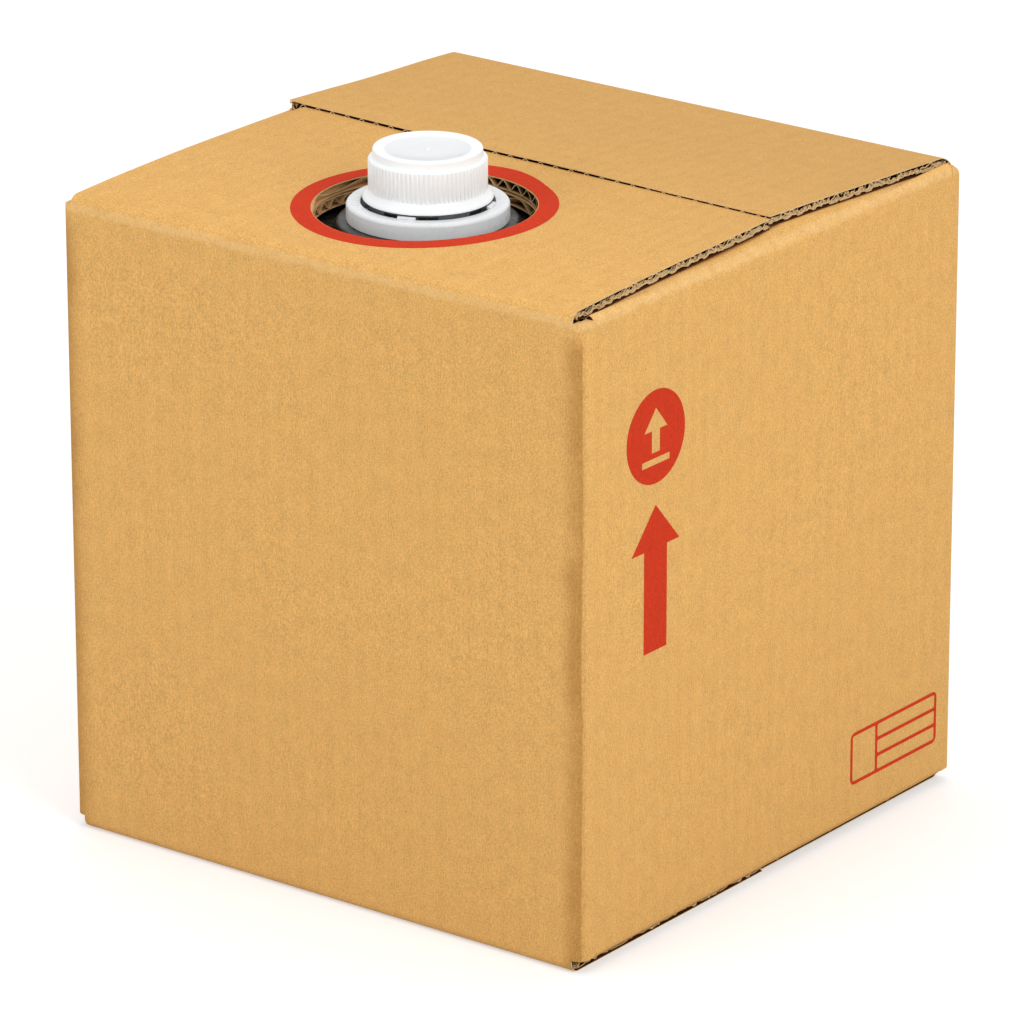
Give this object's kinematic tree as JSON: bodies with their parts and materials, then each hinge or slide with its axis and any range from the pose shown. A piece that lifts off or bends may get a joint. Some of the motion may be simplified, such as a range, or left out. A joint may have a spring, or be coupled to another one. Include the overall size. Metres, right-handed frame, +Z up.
{
  "type": "boxed collapsible liquid container",
  "caption": "Corrugated shipping carton with opening top flaps, holding a dark collapsible liquid container with a white screw-cap spout.",
  "frame": {"origin": "middle of the base, on the floor", "axes": "+Z up; the plain front wall faces -Y and the printed wall faces +X"},
  "size_m": [0.2852, 0.285, 0.3274],
  "materials": {
    "board": "natural kraft",
    "dark_film": "glossy blown film",
    "white_plastic": "satin",
    "cap_plastic": "satin",
    "seal_foam": "matt",
    "red_ink": "printed ink on board"
  },
  "bodies": {
    "carton": {"carton_body": "board", "inner_container": "dark_film", "spout": "white_plastic", "neck_collar": "white_plastic", "tamper_band": "white_plastic", "print_disc": "red_ink", "print_arrow": "red_ink", "print_stamp": "red_ink"},
    "front_flap": {"top_flap_front": "board", "print_ring": "red_ink"},
    "back_flap": {"top_flap_back": "board"},
    "seal": {"cap_seal": "seal_foam"},
    "cap": {"screw_cap": "cap_plastic"}
  },
  "joints": [
    {"name": "front_flap_hinge", "type": "hinge", "parent": "carton", "child": "front_flap", "pos_m": [0, -0.1425, 0.2991], "axis": [1, 0, 0], "range_deg": [0, 260]},
    {"name": "back_flap_hinge", "type": "hinge", "parent": "carton", "child": "back_flap", "pos_m": [0, 0.1425, 0.2991], "axis": [-1, 0, 0], "range_deg": [0, 260]},
    {"name": "cap_lift", "type": "slide", "parent": "carton", "child": "seal", "axis": [0, 0, 1], "range_m": [0, 0.0082]},
    {"name": "cap_turn", "type": "hinge", "parent": "seal", "child": "cap", "pos_m": [0, -0.0634, 0.31], "axis": [0, 0, 1], "range_deg": [0, 720]}
  ],
  "couplings": [
    {"joint": "cap_lift", "follows": "cap_turn", "m_per_rad": 0.00063662}
  ]
}
